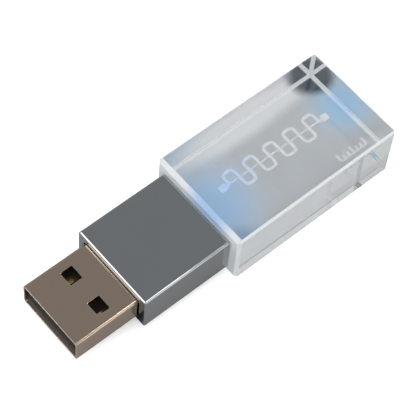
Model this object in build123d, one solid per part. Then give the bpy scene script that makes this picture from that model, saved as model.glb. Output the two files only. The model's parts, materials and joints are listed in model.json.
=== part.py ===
"""A USB flash drive: a bevelled glass block glued behind a plated metal housing that holds a type-A plug,
a small circuit board with its chips, and two blue lamps that light the glass through a milky light guide.

Millimetres. +X runs from the plug's tip to the glass block's far end, +Y across, +Z up. The drive lies flat:
the glass block's underside is on Z = 0, and the origin is below the middle of the whole drive."""

from build123d import *
import os

# ---- Glass block ------------------------------------------------------------------------------------
GLASS_LENGTH = 30.6
GLASS_WIDTH = 18.1
GLASS_HEIGHT = 10.4
GLASS_FRONT_BEVEL = 0.65  # across the top and bottom of the face that is glued
GLASS_END_BEVEL = 0.35
GLASS_LONG_BEVEL = 0.3
GLASS_UPRIGHT_BEVEL = 0.45
GLUE_THICKNESS = 0.1
GLUE_INSET = 0.25

# ---- Type-A plug ------------------------------------------------------------------------------------
PLUG_WIDTH = 12.0
PLUG_HEIGHT = 4.5
PLUG_REACH = 10.9  # from the housing's front face to the tip
SHELL_WALL = 0.3
SHELL_BEND = 0.5
SHELL_HIDDEN = 1.2  # behind the housing's front wall
WINDOW_WIDTH = 2.5
WINDOW_LENGTH = 2.1
WINDOW_SETBACK = 5.16
WINDOW_SPACING = 6.1
SEAM_GAP = 0.06
SEAM_KEY_SETBACK = 2.2
SEAM_KEY_LENGTH = 2.2
SEAM_KEY_REACH = 1.0
SEAM_KEY_FLARE = 0.35
TAB_LENGTH = 2.0
TAB_HEIGHT = 1.4

# ---- Plug insulator and contacts --------------------------------------------------------------------
TONGUE_THICKNESS = 1.85
TONGUE_SETBACK = 0.35
TONGUE_LEAD_IN = 0.4
MOUTH_DEPTH = 9.2
INSULATOR_GAP = 0.03
CONTACT_WIDTH = 1.0
CONTACT_THICKNESS = 0.2
CONTACT_PROUD = 0.05
CONTACT_GAP = 0.02
CONTACT_NOSE = 0.12
TAIL_WIDTH = 0.8
TAIL_LENGTH = 1.9
POWER_CONTACT_Y = 3.5
DATA_CONTACT_Y = 1.0
POWER_CONTACT_SETBACK = 1.4
DATA_CONTACT_SETBACK = 2.4

# ---- Circuit board and what is soldered to it -------------------------------------------------------
BOARD_THICKNESS = 0.8
BOARD_SIDE_MARGIN = 0.25  # beyond the plug at each side
BOARD_GAP = 0.15
TAB_NOTCH_GAP = 0.1
SOLDER_LENGTH = 0.45
SOLDER_HEIGHT = 0.25
PART_GAP = 0.25
MEMORY_LENGTH = 8.0
MEMORY_WIDTH = 9.0
MEMORY_HEIGHT = 1.0
CONTROLLER_SIDE = 5.0
CONTROLLER_HEIGHT = 0.85
CONTROLLER_Y = -2.3
DIMPLE_RADIUS = 0.3
DIMPLE_DEPTH = 0.08
DIMPLE_MARGIN = 0.8
CLOCK_LENGTH = 2.5
CLOCK_WIDTH = 3.2
CLOCK_HEIGHT = 0.7
CLOCK_LID_STEP = 0.2
REGULATOR_LENGTH = 1.3
REGULATOR_WIDTH = 2.9
REGULATOR_HEIGHT = 1.0
REGULATOR_LIFT = 0.1
LEG_WIDTH = 0.4
LEG_THICKNESS = 0.15
LEG_REACH = 0.55
RIGHT_COLUMN_Y = 3.0
CHIP_LENGTH = 1.0  # the small capacitors and resistors, end to end
CHIP_WIDTH = 0.5
CAPACITOR_COUNT = 5
CAPACITOR_HEIGHT = 0.5
RESISTOR_COUNT = 4
RESISTOR_HEIGHT = 0.35
CHIP_CAP_LENGTH = 0.22
CHIP_CAP_STEP = 0.02
LAMP_WIDTH = 1.6
LAMP_DEPTH = 0.6
LAMP_HEIGHT = 0.8
LAMP_LENS_DEPTH = 0.2
LAMP_LENS_INSET = 0.15
LAMP_SPACING = 6.6
LAMP_EDGE_GAP = 0.1
LAMP_CLEARANCE = 1.3  # between the small parts and the lamps

# ---- Carrier, light guide and housing ---------------------------------------------------------------
CARRIER_WALL = 0.4
CARRIER_FIT = 0.05
RIB_SEAT = 0.6
RIB_TAB_GAP = 0.2
LAMP_GAP = 0.35
GUIDE_LENGTH = 2.1
HOUSING_WALL = 0.7
HOUSING_FRONT = 0.9
HOUSING_EDGE = 0.45
HOUSING_CORNER = 0.2  # the two upright edges of the front face
HOUSING_REAR_EDGE = 0.15
HOUSING_INNER_CORNER = 0.3
PLUG_HOLE_GAP = 0.2

# ---- Board outline, from the plug and from what stands on the board ---------------------------------
TAILS_LENGTH = TAIL_LENGTH + SOLDER_LENGTH + PART_GAP
REGULATOR_SPAN = REGULATOR_LENGTH + 2 * LEG_REACH
CHIPS_LENGTH = max(CONTROLLER_SIDE, CLOCK_LENGTH + PART_GAP + REGULATOR_SPAN) + PART_GAP
LAMPS_LENGTH = LAMP_CLEARANCE + LAMP_DEPTH + LAMP_EDGE_GAP
BOARD_LENGTH = TAILS_LENGTH + CHIPS_LENGTH + CHIP_LENGTH + LAMPS_LENGTH
BOARD_WIDTH = PLUG_WIDTH + 2 * BOARD_SIDE_MARGIN

# ---- Stations along X -------------------------------------------------------------------------------
HOUSING_LENGTH = (
    HOUSING_FRONT + SHELL_HIDDEN + BOARD_GAP + BOARD_LENGTH + LAMP_GAP + GUIDE_LENGTH
)
TOTAL_LENGTH = PLUG_REACH + HOUSING_LENGTH + GLUE_THICKNESS + GLASS_LENGTH
TIP_X = -TOTAL_LENGTH / 2
HOUSING_X = TIP_X + PLUG_REACH
SHELL_REAR_X = HOUSING_X + HOUSING_FRONT + SHELL_HIDDEN
BOARD_X = SHELL_REAR_X + BOARD_GAP
BOARD_REAR_X = BOARD_X + BOARD_LENGTH
GUIDE_X = BOARD_REAR_X + LAMP_GAP
HOUSING_REAR_X = GUIDE_X + GUIDE_LENGTH
GLASS_X = HOUSING_REAR_X + GLUE_THICKNESS
CHIPS_X = BOARD_X + TAILS_LENGTH
SMALL_PARTS_X = CHIPS_X + CHIPS_LENGTH

# ---- Levels along Z ---------------------------------------------------------------------------------
AXIS_Z = GLASS_HEIGHT / 2
PLUG_FLOOR_Z = AXIS_Z - PLUG_HEIGHT / 2
TONGUE_Z = PLUG_FLOOR_Z + SHELL_WALL
TONGUE_TOP_Z = TONGUE_Z + TONGUE_THICKNESS
CONTACT_TOP_Z = TONGUE_TOP_Z + CONTACT_PROUD
BOARD_TOP_Z = CONTACT_TOP_Z - CONTACT_THICKNESS
BOARD_Z = BOARD_TOP_Z - BOARD_THICKNESS
SPLIT_Z = (BOARD_Z + BOARD_TOP_Z) / 2

# ---- Cross-sections that fit inside each other ------------------------------------------------------
SHELL_INNER_WIDTH = PLUG_WIDTH - 2 * SHELL_WALL
SHELL_INNER_HEIGHT = PLUG_HEIGHT - 2 * SHELL_WALL
SHELL_INNER_BEND = SHELL_BEND - SHELL_WALL
CAVITY_WIDTH = BOARD_WIDTH + 2 * CARRIER_FIT
CAVITY_HEIGHT = PLUG_HEIGHT + 2 * CARRIER_FIT
CARRIER_WIDTH = CAVITY_WIDTH + 2 * CARRIER_WALL
CARRIER_HEIGHT = CAVITY_HEIGHT + 2 * CARRIER_WALL
HOUSING_INNER_WIDTH = CARRIER_WIDTH + 2 * CARRIER_FIT
HOUSING_INNER_HEIGHT = CARRIER_HEIGHT + 2 * CARRIER_FIT
HOUSING_WIDTH = HOUSING_INNER_WIDTH + 2 * HOUSING_WALL
HOUSING_HEIGHT = HOUSING_INNER_HEIGHT + 2 * HOUSING_WALL

CUT_OVERRUN = 1.0  # how far a cutting solid passes the face it opens


def slab(x0, x1, y0, y1, z0, z1):
    """A box between two opposite corners."""
    size = Box(x1 - x0, y1 - y0, z1 - z0)
    return Pos((x0 + x1) / 2, (y0 + y1) / 2, (z0 + z1) / 2) * size


def centred_slab(x0, x1, width, z0, z1, y=0.0):
    """A box that is centred across on y."""
    return slab(x0, x1, y - width / 2, y + width / 2, z0, z1)


def bar(x0, x1, width, height, corner=0.0, z=AXIS_Z):
    """A bar along X, centred across, whose section has round corners."""
    section = RectangleRounded(width, height, corner) if corner > 0 else Rectangle(width, height)
    plane = Plane(origin=(x0, 0, z), x_dir=(0, 1, 0), z_dir=(1, 0, 0))
    return extrude(plane * section, x1 - x0)


# ---- Glass ------------------------------------------------------------------------------------------
def cut_cornered_bar(plane, width, height, depth, left_cut, right_cut):
    """A bar through the plane, both ways, whose section's left and right corners are cut at 45 degrees."""
    u = width / 2
    v = height / 2
    left = [(left_cut - u, v), (-u, v - left_cut), (-u, left_cut - v), (left_cut - u, -v)]
    right = [(u - right_cut, -v), (u, right_cut - v), (u, v - right_cut), (u - right_cut, v)]
    section = make_face(Polyline(*left, *right, close=True))
    return extrude(plane * section, depth / 2, both=True)


def glass_block():
    """A block whose bevels differ by edge: what the side view, the plan and the end view have in common."""
    middle = (GLASS_X + GLASS_LENGTH / 2, 0, GLASS_HEIGHT / 2)
    side = Plane(origin=middle, x_dir=(1, 0, 0), z_dir=(0, -1, 0))
    plan = Plane(origin=middle, x_dir=(1, 0, 0), z_dir=(0, 0, 1))
    end = Plane(origin=middle, x_dir=(0, 1, 0), z_dir=(1, 0, 0))
    length, width, height = GLASS_LENGTH, GLASS_WIDTH, GLASS_HEIGHT
    upright, along = GLASS_UPRIGHT_BEVEL, GLASS_LONG_BEVEL
    from_side = cut_cornered_bar(side, length, height, width, GLASS_FRONT_BEVEL, GLASS_END_BEVEL)
    from_above = cut_cornered_bar(plan, length, width, height, upright, upright)
    from_end = cut_cornered_bar(end, width, height, length, along, along)
    return from_side & from_above & from_end


def glue_film():
    """The clear film that bonds the housing's rear face and the light guide to the glass."""
    corner = HOUSING_EDGE
    width = HOUSING_WIDTH - 2 * GLUE_INSET
    height = HOUSING_HEIGHT - 2 * GLUE_INSET
    return bar(HOUSING_REAR_X, GLASS_X, width, height, corner)


# ---- Plug -------------------------------------------------------------------------------------------
def seam_cut():
    """The folded sheet's two edges meet under the plug, with one dovetail key across the joint."""
    x0 = TIP_X + SEAM_KEY_SETBACK
    x1 = x0 + SEAM_KEY_LENGTH
    flare = SEAM_KEY_FLARE
    half = SEAM_GAP / 2
    near = [(TIP_X - CUT_OVERRUN, 0), (x0, 0), (x0 - flare, SEAM_KEY_REACH)]
    far = [(x1 + flare, SEAM_KEY_REACH), (x1, 0), (SHELL_REAR_X + CUT_OVERRUN, 0)]
    line = Polyline(*near, *far)
    strip = trace(line, line_width=2 * half)
    return Pos(0, 0, PLUG_FLOOR_Z - CUT_OVERRUN) * extrude(strip, CUT_OVERRUN + SHELL_WALL * 2)


def window_cuts():
    """Four latch windows: a pair in the top wall and a pair in the bottom wall."""
    x0 = TIP_X + WINDOW_SETBACK
    z0 = PLUG_FLOOR_Z - CUT_OVERRUN
    z1 = PLUG_FLOOR_Z + PLUG_HEIGHT + CUT_OVERRUN
    sides = [-WINDOW_SPACING / 2, WINDOW_SPACING / 2]
    return [centred_slab(x0, x0 + WINDOW_LENGTH, WINDOW_WIDTH, z0, z1, y) for y in sides]


def tab_slabs(grow=0.0):
    """The shell's two rear tabs, or the notches that they need when grow is a clearance."""
    y_out = PLUG_WIDTH / 2 + grow
    y_in = PLUG_WIDTH / 2 - SHELL_WALL - grow
    x1 = SHELL_REAR_X + TAB_LENGTH + grow
    z0 = SPLIT_Z - TAB_HEIGHT / 2 - grow
    z1 = SPLIT_Z + TAB_HEIGHT / 2 + grow
    return [
        slab(SHELL_REAR_X, x1, y_in, y_out, z0, z1),
        slab(SHELL_REAR_X, x1, -y_out, -y_in, z0, z1),
    ]


def plug_shell():
    outside = bar(TIP_X, SHELL_REAR_X, PLUG_WIDTH, PLUG_HEIGHT, SHELL_BEND)
    inside = bar(
        TIP_X - CUT_OVERRUN,
        SHELL_REAR_X + CUT_OVERRUN,
        SHELL_INNER_WIDTH,
        SHELL_INNER_HEIGHT,
        SHELL_INNER_BEND,
    )
    shell = outside - inside
    for cut in [*window_cuts(), seam_cut()]:
        shell -= cut
    for tab in tab_slabs():
        shell += tab
    return shell


def contact_places():
    """Name, distance across and distance behind the tip of each contact's nose."""
    return {
        "contact_power": (POWER_CONTACT_Y, POWER_CONTACT_SETBACK),
        "contact_data_minus": (DATA_CONTACT_Y, DATA_CONTACT_SETBACK),
        "contact_data_plus": (-DATA_CONTACT_Y, DATA_CONTACT_SETBACK),
        "contact_ground": (-POWER_CONTACT_Y, POWER_CONTACT_SETBACK),
    }


def contact(y, setback):
    """A flat gold-plated blade: its nose is in the mouth, and its narrow tail lies on the board."""
    x0 = TIP_X + setback
    blade = centred_slab(x0, SHELL_REAR_X, CONTACT_WIDTH, BOARD_TOP_Z, CONTACT_TOP_Z, y)
    nose = blade.edges().filter_by(Axis.Y).group_by(Axis.X)[0].sort_by(Axis.Z)[-1]
    blade = chamfer(nose, CONTACT_NOSE)
    tail_end = BOARD_X + TAIL_LENGTH
    return blade + centred_slab(SHELL_REAR_X, tail_end, TAIL_WIDTH, BOARD_TOP_Z, CONTACT_TOP_Z, y)


def plug_insulator():
    """A black tongue under the mouth, full height behind it, with a channel for each contact."""
    width = SHELL_INNER_WIDTH - 2 * INSULATOR_GAP
    roof_z = TONGUE_Z + SHELL_INNER_HEIGHT - INSULATOR_GAP
    tongue_x = TIP_X + TONGUE_SETBACK
    mouth_end = TIP_X + MOUTH_DEPTH
    body = centred_slab(tongue_x, SHELL_REAR_X, width, TONGUE_Z, roof_z)
    body = fillet(body.edges().filter_by(Axis.X), SHELL_INNER_BEND)
    overrun_z = roof_z + CUT_OVERRUN
    mouth = centred_slab(
        tongue_x - CUT_OVERRUN, mouth_end, width + 2 * CUT_OVERRUN, TONGUE_TOP_Z, overrun_z
    )
    body -= mouth
    lip = body.edges().filter_by(Axis.Y).group_by(Axis.X)[0].sort_by(Axis.Z)[-1]
    body = chamfer(lip, TONGUE_LEAD_IN)
    for y, setback in contact_places().values():
        x0 = TIP_X + setback - CONTACT_GAP
        z1 = CONTACT_TOP_Z + CONTACT_GAP
        channel_width = CONTACT_WIDTH + 2 * CONTACT_GAP
        body -= centred_slab(x0, SHELL_REAR_X + CUT_OVERRUN, channel_width, BOARD_TOP_Z, z1, y)
    return body


# ---- Board ------------------------------------------------------------------------------------------
def circuit_board():
    board = centred_slab(BOARD_X, BOARD_REAR_X, BOARD_WIDTH, BOARD_Z, BOARD_TOP_Z)
    for notch in tab_slabs(TAB_NOTCH_GAP):
        board -= notch
    return board


def package(x0, length, width, z0, z1, y, mark_z):
    """A moulded chip package with a round dimple beside its first pin, in the face at mark_z."""
    body = centred_slab(x0, x0 + length, width, z0, z1, y)
    mark_x = x0 + DIMPLE_MARGIN
    mark_y = y - width / 2 + DIMPLE_MARGIN
    return body - Pos(mark_x, mark_y, mark_z) * Cylinder(DIMPLE_RADIUS, 2 * DIMPLE_DEPTH)


def flash_memory_chip():
    x0 = (BOARD_X + BOARD_REAR_X - MEMORY_LENGTH) / 2
    z0 = BOARD_Z - MEMORY_HEIGHT
    return package(x0, MEMORY_LENGTH, MEMORY_WIDTH, z0, BOARD_Z, 0.0, z0)


def controller_chip():
    z1 = BOARD_TOP_Z + CONTROLLER_HEIGHT
    side = CONTROLLER_SIDE
    return package(CHIPS_X, side, side, BOARD_TOP_Z, z1, CONTROLLER_Y, z1)


def clock_crystal():
    """A ceramic base with a stepped metal lid."""
    x1 = CHIPS_X + CLOCK_LENGTH
    mid_z = BOARD_TOP_Z + CLOCK_HEIGHT / 2
    top_z = BOARD_TOP_Z + CLOCK_HEIGHT
    base = centred_slab(CHIPS_X, x1, CLOCK_WIDTH, BOARD_TOP_Z, mid_z, RIGHT_COLUMN_Y)
    step = CLOCK_LID_STEP
    lid_width = CLOCK_WIDTH - 2 * step
    lid = centred_slab(CHIPS_X + step, x1 - step, lid_width, mid_z, top_z, RIGHT_COLUMN_Y)
    return base + lid


def voltage_regulator():
    """A three-legged package: one leg in front and two behind."""
    x0 = CHIPS_X + CLOCK_LENGTH + PART_GAP + LEG_REACH
    x1 = x0 + REGULATOR_LENGTH
    z0 = BOARD_TOP_Z + REGULATOR_LIFT
    z1 = BOARD_TOP_Z + REGULATOR_HEIGHT
    body = centred_slab(x0, x1, REGULATOR_WIDTH, z0, z1, RIGHT_COLUMN_Y)
    leg_top = BOARD_TOP_Z + REGULATOR_HEIGHT / 2 + LEG_THICKNESS
    behind = REGULATOR_WIDTH / 2 - LEG_WIDTH
    for face_x, way, dy in [(x0, -1, 0.0), (x1, 1, behind), (x1, 1, -behind)]:
        knee_x = face_x + way * LEG_REACH / 2
        foot_x = face_x + way * LEG_REACH
        y = RIGHT_COLUMN_Y + dy
        body += leg(face_x, knee_x, foot_x, y, leg_top)
    return body


def leg(face_x, knee_x, foot_x, y, top_z):
    """A lead that leaves the package, turns down at the knee and rests its foot on the board."""
    thick = LEG_THICKNESS
    way = 1 if foot_x > face_x else -1
    shoulder = centred_slab(*sorted((face_x, knee_x)), LEG_WIDTH, top_z - thick, top_z, y)
    shin = centred_slab(
        *sorted((knee_x - way * thick, knee_x)), LEG_WIDTH, BOARD_TOP_Z, top_z, y
    )
    foot = centred_slab(
        *sorted((knee_x - way * thick, foot_x)), LEG_WIDTH, BOARD_TOP_Z, BOARD_TOP_Z + thick, y
    )
    return shoulder + shin + foot


def chip_part(x0, y, height):
    """A small two-ended part that lies along X, with its end caps a little proud."""
    x1 = x0 + CHIP_LENGTH
    step = CHIP_CAP_STEP
    body = centred_slab(x0, x1, CHIP_WIDTH - 2 * step, BOARD_TOP_Z, BOARD_TOP_Z + height - step, y)
    for start in [x0, x1 - CHIP_CAP_LENGTH]:
        end = start + CHIP_CAP_LENGTH
        body += centred_slab(start, end, CHIP_WIDTH, BOARD_TOP_Z, BOARD_TOP_Z + height, y)
    return body


def chip_row(count, y0, height):
    """Several small parts side by side across the board, behind the larger ones."""
    pitch = CHIP_WIDTH + PART_GAP
    places = [y0 + i * pitch for i in range(count)]
    return Compound(children=[chip_part(SMALL_PARTS_X, y, height) for y in places])


def capacitors():
    """Decoupling capacitors behind the controller."""
    y0 = CONTROLLER_Y - CONTROLLER_SIDE / 2 + CHIP_WIDTH / 2
    return chip_row(CAPACITOR_COUNT, y0, CAPACITOR_HEIGHT)


def resistors():
    """Series resistors for the data pair and the lamps, behind the voltage regulator."""
    y0 = CONTROLLER_Y + CONTROLLER_SIDE / 2 + PART_GAP + CHIP_WIDTH / 2
    return chip_row(RESISTOR_COUNT, y0, RESISTOR_HEIGHT)


def blue_lamp(y):
    """A side-shining lamp at the board's rear edge, with its lens towards the light guide."""
    x1 = BOARD_REAR_X - LAMP_EDGE_GAP
    lens_x = x1 - LAMP_LENS_DEPTH
    x0 = x1 - LAMP_DEPTH
    top_z = BOARD_TOP_Z + LAMP_HEIGHT
    inset = LAMP_LENS_INSET
    body = centred_slab(x0, lens_x, LAMP_WIDTH, BOARD_TOP_Z, top_z, y)
    lens_width = LAMP_WIDTH - 2 * inset
    return body + centred_slab(lens_x, x1, lens_width, BOARD_TOP_Z + inset, top_z - inset, y)


def wedge(x0, x1, y, width, height):
    """A solder fillet on the board, high at x0 and thin at x1."""
    toe = height / 5
    profile = make_face(
        Polyline((x0, 0), (x1, 0), (x1, toe), (x0, height), close=True)
    )
    plane = Plane(origin=(0, y + width / 2, BOARD_TOP_Z), x_dir=(1, 0, 0), z_dir=(0, -1, 0))
    return extrude(plane * profile, width)


def contact_solder():
    """One fillet of solder behind each contact's tail."""
    x0 = BOARD_X + TAIL_LENGTH
    places = contact_places().values()
    fillets = [wedge(x0, x0 + SOLDER_LENGTH, y, TAIL_WIDTH, CONTACT_THICKNESS) for y, _ in places]
    return Compound(children=fillets)


def tab_solder():
    """A lump of solder on the board inside each of the shell's tabs."""
    x0 = BOARD_X + TAB_NOTCH_GAP
    x1 = SHELL_REAR_X + TAB_LENGTH
    y_out = PLUG_WIDTH / 2 - SHELL_WALL
    y_in = y_out - SOLDER_LENGTH
    top_z = BOARD_TOP_Z + SOLDER_HEIGHT
    lumps = [
        slab(x0, x1, y_in, y_out, BOARD_TOP_Z, top_z),
        slab(x0, x1, -y_out, -y_in, BOARD_TOP_Z, top_z),
    ]
    return Compound(children=lumps)


# ---- Carrier, light guide and housing ---------------------------------------------------------------
def carrier():
    """The whole plastic sleeve round the plug's rear and the board, before it is split in two."""
    x0 = HOUSING_X + HOUSING_FRONT
    sleeve = bar(x0, GUIDE_X, CARRIER_WIDTH, CARRIER_HEIGHT, HOUSING_INNER_CORNER)
    sleeve -= bar(x0 - CUT_OVERRUN, GUIDE_X + CUT_OVERRUN, CAVITY_WIDTH, CAVITY_HEIGHT)
    rib_x = SHELL_REAR_X + TAB_LENGTH + RIB_TAB_GAP
    y_in = BOARD_WIDTH / 2 - RIB_SEAT
    y_out = CAVITY_WIDTH / 2
    floor_z = AXIS_Z - CAVITY_HEIGHT / 2
    roof_z = AXIS_Z + CAVITY_HEIGHT / 2
    for z0, z1 in [(floor_z, BOARD_Z), (BOARD_TOP_Z, roof_z)]:
        sleeve += slab(rib_x, BOARD_REAR_X, y_in, y_out, z0, z1)
        sleeve += slab(rib_x, BOARD_REAR_X, -y_out, -y_in, z0, z1)
    return sleeve


def half_space(z0, z1):
    """A box that takes in the whole carrier between two levels."""
    width = CARRIER_WIDTH + 2 * CUT_OVERRUN
    return centred_slab(HOUSING_X - CUT_OVERRUN, GUIDE_X + CUT_OVERRUN, width, z0, z1)


def carrier_lower():
    return carrier() & half_space(AXIS_Z - CARRIER_HEIGHT, SPLIT_Z)


def carrier_upper():
    return carrier() & half_space(SPLIT_Z, AXIS_Z + CARRIER_HEIGHT)


def light_guide():
    """A milky block that closes the housing's rear and spreads the lamps' light into the glass."""
    return bar(GUIDE_X, HOUSING_REAR_X, CARRIER_WIDTH, CARRIER_HEIGHT, HOUSING_INNER_CORNER)


def metal_housing():
    body = bar(HOUSING_X, HOUSING_REAR_X, HOUSING_WIDTH, HOUSING_HEIGHT)
    rear = body.faces().sort_by(Axis.X)[-1]
    body = chamfer(rear.edges(), HOUSING_REAR_EDGE)
    uprights = body.faces().sort_by(Axis.X)[0].edges().filter_by(Axis.Z)
    body = fillet(uprights, HOUSING_CORNER)
    front_edges = body.faces().sort_by(Axis.X)[0].edges().filter_by(Axis.Y)
    long_edges = body.edges().filter_by(Axis.X)
    body = fillet(front_edges + long_edges, HOUSING_EDGE)
    body -= bar(
        HOUSING_X + HOUSING_FRONT,
        HOUSING_REAR_X + CUT_OVERRUN,
        HOUSING_INNER_WIDTH,
        HOUSING_INNER_HEIGHT,
        HOUSING_INNER_CORNER,
    )
    hole_width = PLUG_WIDTH + 2 * PLUG_HOLE_GAP
    hole_height = PLUG_HEIGHT + 2 * PLUG_HOLE_GAP
    hole_corner = SHELL_BEND + PLUG_HOLE_GAP
    hole_end = HOUSING_X + HOUSING_FRONT + CUT_OVERRUN
    return body - bar(HOUSING_X - CUT_OVERRUN, hole_end, hole_width, hole_height, hole_corner)


def pieces():
    """Every separate piece of the drive, by the name of its node."""
    made = {
        "glass_block": glass_block(),
        "glue_film": glue_film(),
        "metal_housing": metal_housing(),
        "light_guide": light_guide(),
        "carrier_lower": carrier_lower(),
        "carrier_upper": carrier_upper(),
        "plug_shell": plug_shell(),
        "plug_insulator": plug_insulator(),
        "circuit_board": circuit_board(),
        "flash_memory_chip": flash_memory_chip(),
        "controller_chip": controller_chip(),
        "clock_crystal": clock_crystal(),
        "voltage_regulator": voltage_regulator(),
        "capacitors": capacitors(),
        "resistors": resistors(),
        "blue_lamp_left": blue_lamp(LAMP_SPACING / 2),
        "blue_lamp_right": blue_lamp(-LAMP_SPACING / 2),
        "contact_solder": contact_solder(),
        "tab_solder": tab_solder(),
    }
    for name, (y, setback) in contact_places().items():
        made[name] = contact(y, setback)
    return made


os.makedirs("parts", exist_ok=True)
for name, shape in pieces().items():
    export_step(shape, f"parts/{name}.step")
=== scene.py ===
"""Looks for a USB flash drive: a bevelled glass block on a plated housing with a type-A plug.

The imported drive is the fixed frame, in metres. +X runs from the plug's tip to the glass block's far end, +Y
to the left and +Z up. The glass block, its engraved marks and the glue are built here. The other pieces
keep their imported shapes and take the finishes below. Three of them get broken edges too."""

import json
import math
from itertools import product

import bmesh
import bpy
from mathutils import Matrix, Vector


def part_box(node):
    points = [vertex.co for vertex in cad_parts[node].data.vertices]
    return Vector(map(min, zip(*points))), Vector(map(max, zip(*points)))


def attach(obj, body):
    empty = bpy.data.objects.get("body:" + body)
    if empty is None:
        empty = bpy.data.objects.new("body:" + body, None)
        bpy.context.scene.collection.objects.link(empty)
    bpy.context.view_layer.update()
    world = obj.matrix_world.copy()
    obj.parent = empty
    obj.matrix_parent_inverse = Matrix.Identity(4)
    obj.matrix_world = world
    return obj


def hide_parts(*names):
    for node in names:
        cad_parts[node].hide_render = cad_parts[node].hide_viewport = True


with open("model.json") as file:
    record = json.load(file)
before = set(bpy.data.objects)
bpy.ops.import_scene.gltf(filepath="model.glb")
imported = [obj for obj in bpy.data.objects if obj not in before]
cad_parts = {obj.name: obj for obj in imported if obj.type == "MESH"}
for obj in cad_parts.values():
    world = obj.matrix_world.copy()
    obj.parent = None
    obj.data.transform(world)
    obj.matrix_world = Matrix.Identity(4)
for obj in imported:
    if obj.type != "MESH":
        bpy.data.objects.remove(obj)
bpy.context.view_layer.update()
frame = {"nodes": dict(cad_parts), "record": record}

MM = 0.001

glass_low, glass_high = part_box("glass_block")
housing_low, housing_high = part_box("metal_housing")
glue_low, glue_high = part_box("glue_film")
plug_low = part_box("plug_shell")[0]

AXIS_Z = (glass_low.z + glass_high.z) / 2


# ---- Node tree helpers ------------------------------------------------------------------------------
def feed(tree, socket, value):
    """A socket given another node's output or a constant. A constant colour gets its alpha here."""
    if isinstance(value, bpy.types.NodeSocket):
        tree.links.new(value, socket)
    elif socket.type == "RGBA":
        socket.default_value = (*value, 1.0)
    else:
        socket.default_value = value


def new_node(tree, kind, inputs=None, **settings):
    """One node with its settings, whose inputs are constants or links from other nodes' outputs."""
    node = tree.nodes.new(kind)
    for name, value in settings.items():
        setattr(node, name, value)
    for name, value in (inputs or {}).items():
        feed(tree, node.inputs[name], value)
    return node


def math_node(tree, operation, a, b):
    """The result of one sum on two values."""
    return new_node(tree, "ShaderNodeMath", {0: a, 1: b}, operation=operation).outputs[0]


def vector_math(tree, operation, a, b=(0, 0, 0)):
    """The outputs of one sum on two vectors: "Vector", or "Value" for a length or a dot product."""
    return new_node(tree, "ShaderNodeVectorMath", {0: a, 1: b}, operation=operation).outputs


def remap(tree, value, from_low, from_high, to_low=0.0, to_high=1.0, curve="LINEAR"):
    """A value carried from one range to another, and held within it."""
    return new_node(
        tree, "ShaderNodeMapRange",
        {"Value": value, "From Min": from_low, "From Max": from_high, "To Min": to_low, "To Max": to_high},
        interpolation_type=curve,
    ).outputs[0]


def object_place(tree):
    """The point being shaded, in metres on the drive's own axes."""
    return new_node(tree, "ShaderNodeTexCoord").outputs["Object"]


def noise(tree, place, scale, detail, roughness=0.5, distortion=0.0):
    """Soft noise from 0 to 1."""
    return new_node(
        tree, "ShaderNodeTexNoise",
        {"Vector": place, "Scale": scale, "Detail": detail, "Roughness": roughness, "Distortion": distortion},
    ).outputs["Fac"]


MIX_FACTOR, MIX_A, MIX_B, MIX_RESULT = 0, 6, 7, 2  # the Mix node's colour sockets


def mix_colour(tree, factor, a, b):
    """A blend from colour a to colour b."""
    node = new_node(tree, "ShaderNodeMix", {MIX_FACTOR: factor}, data_type="RGBA")
    feed(tree, node.inputs[MIX_A], a)
    feed(tree, node.inputs[MIX_B], b)
    return node.outputs[MIX_RESULT]


def new_group(name, inputs, outputs):
    """An empty shader node group with named sockets: its tree, input sockets and output node."""
    tree = bpy.data.node_groups.new(name, "ShaderNodeTree")
    for socket_name, kind, default in inputs:
        socket = tree.interface.new_socket(socket_name, in_out="INPUT", socket_type=kind)
        socket.default_value = default
    for socket_name, kind in outputs:
        tree.interface.new_socket(socket_name, in_out="OUTPUT", socket_type=kind)
    inlet = tree.nodes.new("NodeGroupInput")
    outlet = tree.nodes.new("NodeGroupOutput")
    return tree, inlet.outputs, outlet


def use_group(tree, group, **inputs):
    """A group placed in a material with its own values; underscores stand for spaces in socket names."""
    node = tree.nodes.new("ShaderNodeGroup")
    node.node_tree = group
    for socket_name, value in inputs.items():
        feed(tree, node.inputs[socket_name.replace("_", " ")], value)
    return node.outputs


FLOAT = "NodeSocketFloat"
VECTOR = "NodeSocketVector"


# ---- Shared effects ---------------------------------------------------------------------------------
def make_handling_marks():
    """Faint smudges and fine rubbing over a surface: a mask, and a height for fine scratches."""
    inputs = [
        ("Smudge Scale", FLOAT, 250.0),
        ("Scratch Scale", FLOAT, 900.0),
        ("Scratch Stretch", FLOAT, 12.0),
    ]
    outputs = [("Smudge", FLOAT), ("Scratch", FLOAT)]
    tree, given, outlet = new_group("handling_marks", inputs, outputs)
    place = object_place(tree)
    cloud = noise(tree, place, given["Smudge Scale"], detail=4.0, roughness=0.6, distortion=0.8)
    stretch = new_node(
        tree, "ShaderNodeCombineXYZ",
        {"X": 1.0, "Y": given["Scratch Stretch"], "Z": given["Scratch Stretch"]},
    )
    stretched = vector_math(tree, "MULTIPLY", place, stretch.outputs[0])["Vector"]
    scratch = noise(tree, stretched, given["Scratch Scale"], detail=3.0, roughness=0.7)
    feed(tree, outlet.inputs["Smudge"], remap(tree, cloud, 0.38, 0.68))
    feed(tree, outlet.inputs["Scratch"], scratch)
    return tree


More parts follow.
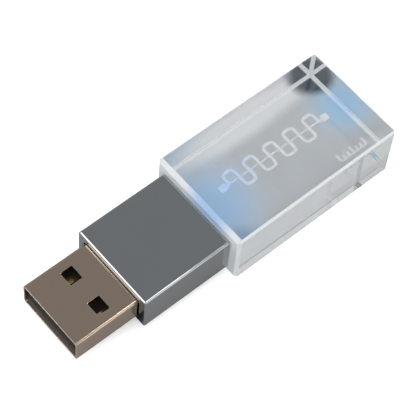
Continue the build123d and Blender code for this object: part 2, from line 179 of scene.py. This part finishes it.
def make_edge_rub_and_sheen():
    """Where a piece turns a corner: bright with wear, and a painted edge highlight as well, a little broken
    up by noise.
    """
    inputs = [("Radius", FLOAT, 0.12 * MM), ("Break Scale", FLOAT, 700.0)]
    tree, given, outlet = new_group("edge_rub_and_sheen", inputs, [("Rub", FLOAT)])
    rounded = new_node(tree, "ShaderNodeBevel", {"Radius": given["Radius"]}, samples=6).outputs["Normal"]
    normal = new_node(tree, "ShaderNodeNewGeometry").outputs["Normal"]
    aligned = vector_math(tree, "DOT_PRODUCT", rounded, normal)["Value"]
    # a brighter edge colour: partly wear, partly a painted highlight
    rub_and_sheen = remap(tree, aligned, 0.995, 0.93)
    breaks = noise(tree, object_place(tree), given["Break Scale"], detail=3.0)
    broken = remap(tree, breaks, 0.3, 0.6, 0.7, 1.0)
    feed(tree, outlet.inputs["Rub"], math_node(tree, "MULTIPLY", rub_and_sheen, broken))
    return tree


def make_painted_pool_mask():
    """A soft mask round a point, used to paint pools of light and patches of shade: 1 at its middle and 0
    past its reach, ragged at its rim.
    """
    inputs = [
        ("Centre", VECTOR, (0, 0, 0)),
        ("Reach", VECTOR, (1, 1, 1)),
        ("Core", FLOAT, 0.3),
        ("Rag", FLOAT, 0.12),
    ]
    tree, given, outlet = new_group("painted_pool_mask", inputs, [("Pool", FLOAT)])
    place = object_place(tree)
    offset = vector_math(tree, "SUBTRACT", place, given["Centre"])["Vector"]
    scaled = vector_math(tree, "DIVIDE", offset, given["Reach"])["Vector"]
    distance = vector_math(tree, "LENGTH", scaled)["Value"]
    uneven = math_node(tree, "SUBTRACT", noise(tree, place, 160.0, detail=1.0), 0.5)
    ragged = math_node(tree, "ADD", distance, math_node(tree, "MULTIPLY", uneven, given["Rag"]))
    feed(tree, outlet.inputs["Pool"], remap(tree, ragged, given["Core"], 1.0, 1.0, 0.0, "SMOOTHSTEP"))
    return tree


def make_fine_grain():
    """A fine moulded or ground grain: a height, and a slow mottle for the colour."""
    inputs = [("Grain Scale", FLOAT, 4000.0), ("Mottle Scale", FLOAT, 300.0)]
    tree, given, outlet = new_group("fine_grain", inputs, [("Grain", FLOAT), ("Mottle", FLOAT)])
    place = object_place(tree)
    feed(tree, outlet.inputs["Grain"], noise(tree, place, given["Grain Scale"], detail=4.0, roughness=0.65))
    feed(tree, outlet.inputs["Mottle"], noise(tree, place, given["Mottle Scale"], detail=3.0))
    return tree


HANDLING_MARKS = make_handling_marks()
EDGE_RUB_AND_SHEEN = make_edge_rub_and_sheen()
PAINTED_POOL_MASK = make_painted_pool_mask()
FINE_GRAIN = make_fine_grain()


# ---- Finishes ---------------------------------------------------------------------------------------
GLASS_IOR = 1.5
SCRATCH_HEIGHT = 0.02 * MM
GRAIN_HEIGHT = 0.03 * MM
SMUDGE_SHADE = 0.97
MOTTLE_SHADE = 1.35
PLASTIC_ROUGHNESS_SPREAD = 0.07

LAMP_BLUE = (0.10, 0.34, 0.95)
# the colour of the painted pools of the lamps' light
PAINTED_LIGHT_BLUE = (0.52, 0.78, 1.00)
CLEAR = (0.965, 0.975, 0.98)


def new_finish(name, **shader_values):
    """A material with one Principled shader, and that shader's constants set on its own sockets."""
    material = bpy.data.materials.new(name)
    material.use_nodes = True
    tree = material.node_tree
    shader = tree.nodes["Principled BSDF"]
    for socket_name, value in shader_values.items():
        feed(tree, shader.inputs[socket_name.replace("_", " ")], value)
    return material, tree, shader


def set_bump(tree, shader, height, strength, distance):
    """Relief from a height that changes over the surface."""
    bump = new_node(tree, "ShaderNodeBump", {"Height": height, "Strength": strength, "Distance": distance})
    tree.links.new(bump.outputs["Normal"], shader.inputs["Normal"])


def set_roughness(tree, shader, mask, low, high):
    """Roughness that runs from low to high as a mask runs from 0 to 1."""
    tree.links.new(remap(tree, mask, 0.0, 1.0, low, high), shader.inputs["Roughness"])


def plated_metal(name, plate, edge_wear_and_sheen, smooth, smudged, scratching):
    """Bright plating: smudged by handling, finely scratched along its length, bright with wear at its edges,
    which is also a painted edge highlight.

    smooth and smudged are roughnesses, and scratching is the strength of the scratches' relief."""
    material, tree, shader = new_finish(name, Metallic=1.0)
    marks = use_group(tree, HANDLING_MARKS, Smudge_Scale=90.0)
    rub_and_sheen = use_group(tree, EDGE_RUB_AND_SHEEN)["Rub"]
    dulled = tuple(SMUDGE_SHADE * c for c in plate)
    face = mix_colour(tree, marks["Smudge"], plate, dulled)
    # the edges take the paler colour: wear, and a painted highlight
    tree.links.new(mix_colour(tree, rub_and_sheen, face, edge_wear_and_sheen), shader.inputs["Base Color"])
    set_roughness(tree, shader, marks["Smudge"], smooth, smudged)
    set_bump(tree, shader, marks["Scratch"], scratching, SCRATCH_HEIGHT)
    return material


def moulded_plastic(name, body, worn_edge_and_sheen, roughness, graining):
    """Moulded plastic with a fine grain, a slow mottle and paler edges, from wear and from a painted
    highlight.

    graining is the strength of the grain's relief."""
    material, tree, shader = new_finish(name, Specular_IOR_Level=0.25)
    grain = use_group(tree, FINE_GRAIN)
    rub_and_sheen = use_group(tree, EDGE_RUB_AND_SHEEN)["Rub"]
    lighter = tuple(MOTTLE_SHADE * c for c in body)
    face = mix_colour(tree, grain["Mottle"], body, lighter)
    # paler edges: wear, and a painted highlight
    tree.links.new(mix_colour(tree, rub_and_sheen, face, worn_edge_and_sheen), shader.inputs["Base Color"])
    low, high = roughness - PLASTIC_ROUGHNESS_SPREAD, roughness + PLASTIC_ROUGHNESS_SPREAD
    set_roughness(tree, shader, grain["Mottle"], low, high)
    set_bump(tree, shader, grain["Grain"], graining, GRAIN_HEIGHT)
    return material


POOL_DEPTH = 1.0  # far more than the drive's height, so that a pool is the same at every height
NEAR_POOL_X = glass_low.x + 2.0 * MM
NEAR_POOL_Y = 0.3 * MM
NEAR_POOL_REACH = Vector((12.5, 11.0)) * MM
FAR_POOL_CENTRE = (glass_high.x + 0.5 * MM, 2.0 * MM)
FAR_POOL_REACH = Vector((7.5, 7.5)) * MM
BEVEL_POOL_SPREAD = 0.55
BEVEL_POOL_Y = -2.0 * MM


def pool_at(tree, centre, reach, core, rag):
    """One soft pool's mask, from its centre and reach on X and Y."""
    outputs = use_group(
        tree, PAINTED_POOL_MASK, Centre=(*centre, 0.0), Reach=(*reach, POOL_DEPTH), Core=core, Rag=rag
    )
    return outputs["Pool"]


def painted_near_light(tree, spread=1.0, y=NEAR_POOL_Y):
    """Where a pool of the lamps' light is painted in, in the glass beside the housing."""
    return pool_at(tree, (NEAR_POOL_X, y), NEAR_POOL_REACH * spread, core=0.25, rag=0.2)


def painted_far_light(tree, spread=1.0):
    """Where a pool of the lamps' light is painted in again, before the glass block's far end."""
    return pool_at(tree, FAR_POOL_CENTRE, FAR_POOL_REACH * spread, core=0.2, rag=0.2)


def polished_glass():
    """Clear glass with a trace of grey, wiped clean. Its right side has painted shade: a darker grey colour
    that stands in for the shade there.
    """
    material, tree, shader = new_finish(
        "polished_glass", Roughness=0.0, IOR=GLASS_IOR, Transmission_Weight=1.0
    )
    marks = use_group(tree, HANDLING_MARKS, Smudge_Scale=120.0)
    painted_shade_right_side = pool_at(tree, (0.0, glass_low.y), (60 * MM, 0.3 * MM), core=0.6, rag=0.6)
    tint = mix_colour(tree, marks["Smudge"], CLEAR, (0.945, 0.96, 0.965))
    # painted shade on the right side
    tint = mix_colour(tree, painted_shade_right_side, tint, (0.54, 0.56, 0.57))
    tree.links.new(tint, shader.inputs["Base Color"])
    return material


def underside_glass():
    """The block's polished underside, with pools of the lamps' blue light painted into its colour."""
    material, tree, shader = new_finish(
        "underside_glass", Roughness=0.0, IOR=GLASS_IOR, Transmission_Weight=1.0
    )
    base = mix_colour(tree, painted_near_light(tree), (0.98, 0.985, 0.99), PAINTED_LIGHT_BLUE)
    base = mix_colour(tree, painted_far_light(tree), base, PAINTED_LIGHT_BLUE)
    tree.links.new(base, shader.inputs["Base Color"])
    return material


def ground_glass(name, glow, relief):
    """A ground bevel: white and finely pitted, with the lamps' blue light painted in near them.

    glow is the strength of its painted glow, which stands in for the light that it pipes along the block, and
    relief the strength of its pitting."""
    material, tree, shader = new_finish(
        name, IOR=GLASS_IOR, Transmission_Weight=0.25, Emission_Strength=glow
    )
    grain = use_group(tree, FINE_GRAIN, Grain_Scale=6000.0, Mottle_Scale=500.0)
    base = mix_colour(tree, grain["Mottle"], (0.52, 0.54, 0.55), (0.59, 0.61, 0.62))
    near = painted_near_light(tree, BEVEL_POOL_SPREAD, BEVEL_POOL_Y)
    far = painted_far_light(tree, BEVEL_POOL_SPREAD)
    # painted pools of the lamps' blue light, in colour and in glow
    base = mix_colour(tree, near, base, (0.25, 0.38, 0.58))
    base = mix_colour(tree, far, base, (0.36, 0.48, 0.66))
    tree.links.new(base, shader.inputs["Base Color"])
    # the painted glow takes the same colour
    tree.links.new(base, shader.inputs["Emission Color"])
    set_roughness(tree, shader, grain["Mottle"], 0.35, 0.55)
    set_bump(tree, shader, grain["Grain"], relief, GRAIN_HEIGHT)
    return material


def engraved_glass():
    """Laser-bruised glass: a haze of white flecks with a painted glow for the lamps' light that they scatter,
    painted blue beside the housing.
    """
    material, tree, shader = new_finish("engraved_glass", Roughness=0.6, Emission_Strength=0.36)
    grain = use_group(tree, FINE_GRAIN, Grain_Scale=5000.0)
    white = mix_colour(tree, grain["Mottle"], (0.60, 0.61, 0.62), (0.68, 0.69, 0.70))
    # painted blue light beside the housing, in colour and in glow
    lit = mix_colour(tree, painted_near_light(tree), white, (0.50, 0.60, 0.78))
    tree.links.new(lit, shader.inputs["Base Color"])
    tree.links.new(lit, shader.inputs["Emission Color"])
    tree.links.new(remap(tree, grain["Grain"], 0.0, 1.0, 0.66, 0.78), shader.inputs["Alpha"])
    return material


def milky_guide():
    """The light guide's milky plastic, lit blue from behind."""
    material, tree, shader = new_finish("milky_guide", Roughness=0.4, Emission_Strength=1.2)
    grain = use_group(tree, FINE_GRAIN)
    body = mix_colour(tree, grain["Mottle"], (0.75, 0.83, 0.92), (0.84, 0.90, 0.96))
    glow = mix_colour(tree, painted_near_light(tree), (0.05, 0.15, 0.42), LAMP_BLUE)
    tree.links.new(body, shader.inputs["Base Color"])
    tree.links.new(glow, shader.inputs["Emission Color"])
    set_bump(tree, shader, grain["Grain"], 0.1, GRAIN_HEIGHT)
    return material


def clear_glue():
    """Cured clear glue with a slow haze."""
    material, tree, shader = new_finish("clear_glue", Roughness=0.3, IOR=GLASS_IOR, Transmission_Weight=0.4)
    grain = use_group(tree, FINE_GRAIN, Mottle_Scale=400.0)
    tint = mix_colour(tree, grain["Mottle"], (0.66, 0.72, 0.78), (0.76, 0.80, 0.85))
    tree.links.new(tint, shader.inputs["Base Color"])
    return material


def board_laminate():
    """Solder-masked laminate whose tracks show as faint ridges."""
    material, tree, shader = new_finish("board_laminate", Coat_Weight=0.4)
    tracks = new_node(
        tree, "ShaderNodeTexBrick",
        {
            "Vector": object_place(tree), "Scale": 900.0, "Brick Width": 1.6,
            "Mortar Size": 0.03, "Mortar Smooth": 0.2,
        },
    )
    mask = mix_colour(tree, tracks.outputs["Fac"], (0.012, 0.075, 0.045), (0.03, 0.16, 0.085))
    tree.links.new(mask, shader.inputs["Base Color"])
    grain = use_group(tree, FINE_GRAIN)
    set_roughness(tree, shader, grain["Mottle"], 0.3, 0.45)
    set_bump(tree, shader, tracks.outputs["Fac"], 0.5, GRAIN_HEIGHT)
    return material


FINISHES = {
    "polished_glass": polished_glass(),
    "underside_glass": underside_glass(),
    "ground_glass": ground_glass("ground_glass", glow=0.0, relief=0.25),
    # a painted glow on the bevels seen through the glass
    "lit_bevel": ground_glass("lit_bevel", glow=0.45, relief=0.08),
    "engraved_glass": engraved_glass(),
    "clear_glue": clear_glue(),
    "milky_plastic": milky_guide(),
    "plated_housing": plated_metal(
        "gunmetal_plate", (0.40, 0.425, 0.435), (0.70, 0.70, 0.70), 0.09, 0.11, 0.004
    ),
    "plated_steel": plated_metal("nickel_plate", (0.53, 0.425, 0.335), (0.88, 0.81, 0.70), 0.12, 0.15, 0.02),
    "gold_contact": plated_metal("gold_plate", (0.55, 0.39, 0.20), (0.70, 0.52, 0.30), 0.20, 0.30, 0.10),
    "crystal_can": plated_metal("can_steel", (0.62, 0.61, 0.58), (0.80, 0.79, 0.76), 0.25, 0.35, 0.20),
    "solder": plated_metal("solder_tin", (0.68, 0.68, 0.67), (0.82, 0.82, 0.80), 0.22, 0.45, 0.30),
    "black_plastic": moulded_plastic("black_insulator", (0.012, 0.010, 0.009), (0.05, 0.045, 0.04), 0.5, 0.2),
    "carrier_plastic": moulded_plastic("carrier_plastic", (0.05, 0.05, 0.055), (0.10, 0.10, 0.10), 0.6, 0.4),
    "chip_epoxy": moulded_plastic("chip_epoxy", (0.03, 0.03, 0.032), (0.07, 0.07, 0.07), 0.55, 0.5),
    "capacitor_ceramic": moulded_plastic(
        "capacitor_ceramic", (0.42, 0.30, 0.19), (0.55, 0.45, 0.32), 0.4, 0.2
    ),
    "resistor_ceramic": moulded_plastic("resistor_ceramic", (0.05, 0.05, 0.06), (0.5, 0.5, 0.5), 0.4, 0.2),
    "lamp_lens": moulded_plastic("lamp_lens", (0.45, 0.62, 0.92), (0.7, 0.8, 0.97), 0.25, 0.05),
    "board_laminate": board_laminate(),
}


# ---- Mesh helpers -----------------------------------------------------------------------------------
def new_piece(name, mesh_maker, slot, *finishes):
    """A piece that rides on the drive's one body, built by filling an empty bmesh."""
    mesh = bpy.data.meshes.new(name)
    work = bmesh.new()
    mesh_maker(work)
    bmesh.ops.recalc_face_normals(work, faces=work.faces)
    work.to_mesh(mesh)
    work.free()
    piece = bpy.data.objects.new(name, mesh)
    bpy.context.scene.collection.objects.link(piece)
    for finish in finishes:
        mesh.materials.append(FINISHES[finish])
    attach(piece, "root")
    return piece


# ---- Glass block ------------------------------------------------------------------------------------
FRONT_BEVEL = 0.66 * MM
END_BEVEL = 0.40 * MM
LONG_BEVEL = 0.34 * MM
UPRIGHT_BEVEL = 0.45 * MM
GLASS_FINISHES = ("polished_glass", "underside_glass", "ground_glass", "lit_bevel")
POLISHED, UNDERSIDE, GROUND, LIT = range(4)
SQUARE = 0.99  # a face lies square to an axis when its normal's share along that axis is above this
TILTED = 0.3  # and it leans towards an axis when the share is above this
FLAT_ANGLE = math.radians(1)


def glass_corner_points(sx, sy, sz):
    """A bevelled corner's three points: on its end face, on its side face, and on its top or bottom.

    Each sign is 1 on the high side of the block's box, and -1 on the low side."""
    cross_bevel = END_BEVEL if sx > 0 else FRONT_BEVEL
    x = glass_high.x if sx > 0 else glass_low.x
    y = glass_high.y if sy > 0 else glass_low.y
    z = glass_high.z if sz > 0 else glass_low.z
    on_end = (x, y - sy * UPRIGHT_BEVEL, z - sz * cross_bevel)
    on_side = (x - sx * UPRIGHT_BEVEL, y, z - sz * LONG_BEVEL)
    on_flat = (x - sx * cross_bevel, y - sy * LONG_BEVEL, z)
    return on_end, on_side, on_flat


def fill_glass_block(work):
    """Polished faces, a ground front face to glue to, ground bevels, and a small facet at every corner.

    The bevels seen through the glass, below and at the left, are the ones given a painted glow, standing in
    for their light from inside."""
    for signs in product((-1, 1), repeat=3):
        for point in glass_corner_points(*signs):
            work.verts.new(point)
    hull = bmesh.ops.convex_hull(work, input=list(work.verts))
    bmesh.ops.delete(work, geom=hull["geom_unused"], context="VERTS")
    verts, edges = list(work.verts), list(work.edges)
    bmesh.ops.dissolve_limit(work, angle_limit=FLAT_ANGLE, verts=verts, edges=edges)
    for face in work.faces:
        face.normal_update()
        is_bevel = max(abs(c) for c in face.normal) < SQUARE
        if is_bevel and (face.normal.z < -TILTED or face.normal.y > TILTED):
            # these bevels take the painted glow
            face.material_index = LIT
        elif is_bevel or face.normal.x < -SQUARE:
            face.material_index = GROUND
        elif face.normal.z < -SQUARE:
            face.material_index = UNDERSIDE
        else:
            face.material_index = POLISHED


glass_body = new_piece("glass_body", fill_glass_block, "glass", *GLASS_FINISHES)
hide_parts("glass_block")


# ---- Marks engraved inside the glass ----------------------------------------------------------------
MARK_DEPTH = 2.5 * MM
MARK_THICKNESS = 0.04 * MM
TRACK_WIDTH = 0.50 * MM
BUS_WIDTH = 0.26 * MM
MARK_START = 4.8 * MM
MARK_LENGTH = 19.8 * MM
MARK_RISE = 1.75 * MM
LOOP_COUNT = 9
LOOP_CORNER = 0.35 * MM
PAD_SIDE = 1.2 * MM
TICK_COUNT = 7
TICK_START = 21.4 * MM
TICK_PITCH = 0.82 * MM
TICK_WIDTH = 0.36 * MM
TICK_Y = -7.3 * MM
TALL_TICK = 1.3 * MM
SHORT_TICK = 0.8 * MM
TALL_TICK_EVERY = 3
TICK_BASE_WIDTH = 0.2 * MM
MARK_Z = glass_high.z - MARK_DEPTH


def add_stroke(work, start, end, width):
    """A thin closed bar of one width between two points, at the marks' depth in the glass."""
    start, end = Vector(start), Vector(end)
    way = (end - start).normalized()
    across = Vector((-way.y, way.x)) * (width / 2)
    outline = (start + across, end + across, end - across, start - across)
    low = [work.verts.new((x, y, MARK_Z - MARK_THICKNESS / 2)) for x, y in outline]
    high = [work.verts.new((x, y, MARK_Z + MARK_THICKNESS / 2)) for x, y in outline]
    work.faces.new(list(reversed(low)))
    work.faces.new(high)
    for i in range(len(outline)):
        j = (i + 1) % len(outline)
        work.faces.new((low[i], low[j], high[j], high[i]))


def fill_track_mark(work):
    """A generic circuit mark: a track that winds across a fine centre line, with a pad at each end."""
    start = glass_low.x + MARK_START
    end = start + MARK_LENGTH
    pitch = (MARK_LENGTH - 2 * PAD_SIDE) / LOOP_COUNT
    path = [(start, 0), (start + PAD_SIDE, 0)]
    for i in range(LOOP_COUNT):
        side = 1 if i % 2 == 0 else -1
        rise = side * MARK_RISE
        shoulder = side * (MARK_RISE - LOOP_CORNER)
        x = start + PAD_SIDE + i * pitch
        path += [(x, shoulder), (x + LOOP_CORNER, rise)]
        path += [(x + pitch - LOOP_CORNER, rise), (x + pitch, shoulder)]
    path += [(end - PAD_SIDE, 0), (end, 0)]
    for a, b in zip(path, path[1:]):
        add_stroke(work, a, b, TRACK_WIDTH)
    add_stroke(work, (start, 0), (end, 0), BUS_WIDTH)
    for x in (start, end):
        add_stroke(work, (x - PAD_SIDE / 2, 0), (x + PAD_SIDE / 2, 0), PAD_SIDE)


def fill_tick_mark(work):
    """A plain scale: a base line with a row of ticks, some of them taller."""
    start = glass_low.x + TICK_START
    end = start + (TICK_COUNT - 1) * TICK_PITCH
    add_stroke(work, (start, TICK_Y), (end, TICK_Y), TICK_BASE_WIDTH)
    for i in range(TICK_COUNT):
        x = start + i * TICK_PITCH
        height = TALL_TICK if i % TALL_TICK_EVERY == 0 else SHORT_TICK
        add_stroke(work, (x, TICK_Y), (x, TICK_Y + height), TICK_WIDTH)


new_piece("track_mark", fill_track_mark, "glass", "engraved_glass")
new_piece("tick_mark", fill_tick_mark, "glass", "engraved_glass")


# ---- Glue -------------------------------------------------------------------------------------------
GLUE_GAP = 0.01 * MM
GLUE_BEAD = 0.04 * MM
GLUE_CORNER = 0.45 * MM


def rounded_outline(half_width, half_height, corner, steps=6):
    """A round-cornered section across the drive, as points on Y and Z."""
    points = []
    for quarter in range(4):
        for step in range(steps + 1):
            angle = math.radians(90) * (quarter + step / steps)
            cy = (half_width - corner) * (1 if quarter in (0, 3) else -1)
            cz = (half_height - corner) * (1 if quarter in (0, 1) else -1)
            points.append((cy + corner * math.cos(angle), AXIS_Z + cz + corner * math.sin(angle)))
    return points


def fill_glue(work):
    """The film between the housing and the glass, squeezed out into a fine bead round the joint."""
    half_width = (housing_high.y - housing_low.y) / 2
    half_height = (housing_high.z - housing_low.z) / 2
    stations = (
        (housing_high.x + GLUE_GAP, 0.0),
        ((glue_low.x + glue_high.x) / 2, GLUE_BEAD),
        (glass_low.x - GLUE_GAP, 0.0),
    )
    loops = []
    for x, proud in stations:
        section = rounded_outline(half_width + proud, half_height + proud, GLUE_CORNER)
        loops.append([work.verts.new((x, y, z)) for y, z in section])
    for near, far in zip(loops, loops[1:]):
        for i in range(len(near)):
            j = (i + 1) % len(near)
            work.faces.new((near[i], near[j], far[j], far[i]))
    work.faces.new(loops[0])
    work.faces.new(loops[-1])


glue_bead = new_piece("glue_bead", fill_glue, "clear_glue", "clear_glue")
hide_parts("glue_film")


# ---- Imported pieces: broken edges and finishes -------------------------------------------------------
WELD_DISTANCE = 0.002 * MM
SHARP_ANGLE = math.radians(32)


def make_soft_shading():
    """Geometry nodes that shade a mesh smooth, apart from its sharp edges."""
    tree = bpy.data.node_groups.new("soft_shading", "GeometryNodeTree")
    tree.interface.new_socket("Geometry", in_out="INPUT", socket_type="NodeSocketGeometry")
    tree.interface.new_socket("Geometry", in_out="OUTPUT", socket_type="NodeSocketGeometry")
    inlet = tree.nodes.new("NodeGroupInput")
    outlet = tree.nodes.new("NodeGroupOutput")
    angle = new_node(tree, "GeometryNodeInputMeshEdgeAngle").outputs["Unsigned Angle"]
    sharp = new_node(tree, "FunctionNodeCompare", {"A": angle, "B": SHARP_ANGLE}, operation="GREATER_THAN")
    edges = new_node(
        tree, "GeometryNodeSetShadeSmooth",
        {"Geometry": inlet.outputs[0], "Selection": sharp.outputs[0], "Shade Smooth": False}, domain="EDGE",
    )
    faces = new_node(tree, "GeometryNodeSetShadeSmooth", {"Geometry": edges.outputs[0]}, domain="FACE")
    tree.links.new(faces.outputs[0], outlet.inputs[0])
    return tree


SOFT_SHADING = make_soft_shading()


def break_edges(node, width):
    """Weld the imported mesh, break its sharp edges to catch the light, and shade its bends smooth."""
    piece = frame["nodes"][node]
    weld = piece.modifiers.new("weld", "WELD")
    weld.merge_threshold = WELD_DISTANCE
    bevel = piece.modifiers.new("broken_edge", "BEVEL")
    bevel.width = width
    bevel.segments = 2
    bevel.limit_method = "ANGLE"
    bevel.angle_limit = SHARP_ANGLE
    bevel.use_clamp_overlap = False
    shading = piece.modifiers.new("soft_shading", "NODES")
    shading.node_group = SOFT_SHADING
    normals = piece.modifiers.new("flat_faces", "WEIGHTED_NORMAL")
    normals.keep_sharp = True


BROKEN_EDGES = {
    "metal_housing": 0.06 * MM,
    "plug_shell": 0.07 * MM,
    "plug_insulator": 0.05 * MM,
}
slot_of_node = {row["node"]: row["material_slot"] for row in frame["record"]["subparts"]}
for node, piece in frame["nodes"].items():
    if piece.hide_render:  # one of the pieces above stands for it
        continue
    piece.data.materials.clear()
    piece.data.materials.append(FINISHES[slot_of_node[node]])
    if node in BROKEN_EDGES:
        break_edges(node, BROKEN_EDGES[node])


# ---- Stage: floor, world, lights and camera ---------------------------------------------------------
FLOOR_HALF_SIDE = 1.5
FLOOR_GAP = 0.02 * MM
FOOTPRINT_FADE = 1.05  # where the glass's backing ends, in half lengths and half widths of the block


def outside_footprint(tree):
    """0 on the paper under the glass block, and 1 past its sides and ends."""
    middle = (glass_low + glass_high) / 2
    half_size = (glass_high - glass_low) / 2
    offset = vector_math(tree, "SUBTRACT", object_place(tree), middle)["Vector"]
    scaled = vector_math(tree, "DIVIDE", offset, half_size)["Vector"]
    size = vector_math(tree, "ABSOLUTE", scaled)["Vector"]
    axes = new_node(tree, "ShaderNodeSeparateXYZ", {0: size}).outputs
    furthest = math_node(tree, "MAXIMUM", axes["X"], axes["Y"])
    return remap(tree, furthest, 1.0, FOOTPRINT_FADE)


def painted_glass_backing(tree, grain):
    """What the glass shows of the paper below it, all painted: the room round the drive, and the lamps'
    light.

    It is grey, with painted light along the left side and in the far end's right corner, a painted dark
    reflection in the far end's left corner, painted shade in the right corner beside the housing, and painted
    pools of the lamps' blue light."""
    # painted light, shade and reflections, seen only through the glass
    painted_light_left_band = pool_at(tree, (glass_low.x + 17.5 * MM, glass_high.y), (24 * MM, 3.7 * MM), core=0.4, rag=0.2)
    painted_light_pale_corner = pool_at(tree, (glass_high.x, glass_low.y), (6.5 * MM, 5.5 * MM), core=0.3, rag=0.1)
    painted_shade_dusky_corner = pool_at(tree, (glass_low.x + 2.5 * MM, -6.8 * MM), (5 * MM, 4 * MM), core=0.2, rag=0.2)
    painted_dark_reflection_corner = pool_at(tree, (glass_high.x, glass_high.y), (4.7 * MM, 4.5 * MM), core=0.52, rag=0.2)
    paper = mix_colour(tree, grain["Mottle"], (0.62, 0.64, 0.66), (0.65, 0.67, 0.69))
    paper = mix_colour(tree, painted_light_left_band, paper, (0.98, 0.98, 0.98))
    paper = mix_colour(tree, painted_light_pale_corner, paper, (0.86, 0.87, 0.88))
    paper = mix_colour(tree, painted_near_light(tree), paper, (0.90, 0.92, 1.00))
    paper = mix_colour(tree, painted_far_light(tree), paper, (0.86, 0.92, 1.00))
    paper = mix_colour(tree, painted_shade_dusky_corner, paper, (0.46, 0.56, 0.68))
    paper = mix_colour(tree, painted_dark_reflection_corner, paper, (0.02, 0.04, 0.065))
    return mix_colour(tree, outside_footprint(tree), paper, (0.80, 0.80, 0.80))


def make_floor():
    """A plain pale floor. It shows white, and the glass and the metal see it as softer greys, with a painted
    shadow under the plug that shows only in reflections.
    """
    material, tree, shader = new_finish("floor_paper", Roughness=0.9, Emission_Strength=0.2)
    grain = use_group(tree, FINE_GRAIN, Grain_Scale=800.0, Mottle_Scale=20.0)
    # a painted shadow under the plug, seen only in reflections
    painted_plug_shadow = pool_at(tree, (plug_low.x + 8 * MM, 0.0), (7 * MM, 7.4 * MM), core=0.75, rag=0.0)
    ray = new_node(tree, "ShaderNodeLightPath").outputs
    white = mix_colour(tree, grain["Mottle"], (0.95, 0.95, 0.95), (0.97, 0.97, 0.97))
    mirrored = mix_colour(tree, painted_plug_shadow, (0.30, 0.30, 0.30), (0.04, 0.04, 0.04))
    paper = mix_colour(tree, ray["Is Glossy Ray"], white, mirrored)
    paper = mix_colour(tree, ray["Is Transmission Ray"], paper, painted_glass_backing(tree, grain))
    tree.links.new(paper, shader.inputs["Base Color"])
    glow = mix_colour(tree, ray["Is Camera Ray"], (0, 0, 0), (1, 1, 1))
    tree.links.new(glow, shader.inputs["Emission Color"])
    mesh = bpy.data.meshes.new("floor")
    work = bmesh.new()
    bmesh.ops.create_grid(work, x_segments=8, y_segments=8, size=FLOOR_HALF_SIDE)
    work.to_mesh(mesh)
    work.free()
    mesh.materials.append(material)
    floor = bpy.data.objects.new("floor", mesh)
    floor.location.z = glass_low.z - FLOOR_GAP
    bpy.context.scene.collection.objects.link(floor)


def make_world():
    """A white tent. The metal mirrors it as a dim room, and the glass shows it pale grey."""
    world = bpy.data.worlds.new("studio")
    bpy.context.scene.world = world
    world.use_nodes = True
    tree = world.node_tree
    background = tree.nodes["Background"]
    ray = new_node(tree, "ShaderNodeLightPath").outputs
    way = new_node(tree, "ShaderNodeTexCoord").outputs["Generated"]
    height = new_node(tree, "ShaderNodeSeparateXYZ", {0: way}).outputs["Z"]
    level = remap(tree, height, 0.0, 0.9)
    room = mix_colour(tree, level, (0.46, 0.46, 0.46), (0.34, 0.34, 0.35))
    tent = mix_colour(tree, ray["Is Glossy Ray"], (1.45, 1.45, 1.45), room)
    tent = mix_colour(tree, ray["Is Transmission Ray"], tent, (0.86, 0.87, 0.875))
    tree.links.new(mix_colour(tree, ray["Is Camera Ray"], tent, (1, 1, 1)), background.inputs["Color"])
    background.inputs["Strength"].default_value = 1.0


def area_light(name, direction, distance, width, height, power, only_mirrored=False):
    """A soft rectangular light that faces the drive: where from, how far off, its size, and its watts.

    The lights that show only in mirrors draw the bright lines on the metal's edges."""
    data = bpy.data.lights.new(name, "AREA")
    data.shape = "RECTANGLE"
    data.size = width
    data.size_y = height
    data.energy = power
    light = bpy.data.objects.new(name, data)
    middle = Vector((0, 0, AXIS_Z))
    way = Vector(direction).normalized()
    light.location = middle + way * distance
    light.rotation_euler = way.to_track_quat("Z", "Y").to_euler()
    light.visible_camera = False
    light.visible_diffuse = not only_mirrored
    light.visible_transmission = not only_mirrored
    bpy.context.scene.collection.objects.link(light)


CAMERA_AIM = Vector((0.60, 0.51, 5.20)) * MM
CAMERA_DISTANCE = 255.95 * MM
CAMERA_HEADING = math.radians(44.30)  # from +X towards +Y, the way the camera looks
CAMERA_DROP = math.radians(59.13)
CAMERA_ROLL = math.radians(6.17)
CAMERA_LENS = 153.0


def make_camera():
    """The camera stands over the plug end and the right side, and looks at the drive's middle."""
    along, across = math.cos(CAMERA_HEADING), math.sin(CAMERA_HEADING)
    level, down = math.cos(CAMERA_DROP), math.sin(CAMERA_DROP)
    look = Vector((level * along, level * across, -down))
    right = look.cross(Vector((0, 0, 1))).normalized()
    up = right.cross(look)
    roll = Matrix.Rotation(-CAMERA_ROLL, 3, look)
    right, up = roll @ right, roll @ up
    data = bpy.data.cameras.new("camera")
    data.sensor_width = 36.0
    data.lens = CAMERA_LENS
    data.clip_start = 0.01
    data.clip_end = 10.0
    camera = bpy.data.objects.new("camera", data)
    place = CAMERA_AIM - look * CAMERA_DISTANCE
    turn = Matrix((right, up, -look)).transposed()
    camera.matrix_world = Matrix.Translation(place) @ turn.to_4x4()
    bpy.context.scene.collection.objects.link(camera)
    bpy.context.scene.camera = camera


make_floor()
make_world()
area_light("key_softbox", (-0.45, -0.40, 0.80), 0.60, 0.50, 0.50, 0.8)
area_light("front_card", (-0.68, 0.36, 0.64), 0.40, 0.22, 0.30, 0.66, only_mirrored=True)
area_light("right_strip_low", (0.367, -0.88, 0.30), 0.40, 0.22, 0.08, 0.20, only_mirrored=True)
area_light("right_strip_high", (0.367, -0.14, 0.92), 0.40, 0.30, 0.03, 0.22, only_mirrored=True)
make_camera()
bpy.context.scene.view_settings.view_transform = "Standard"
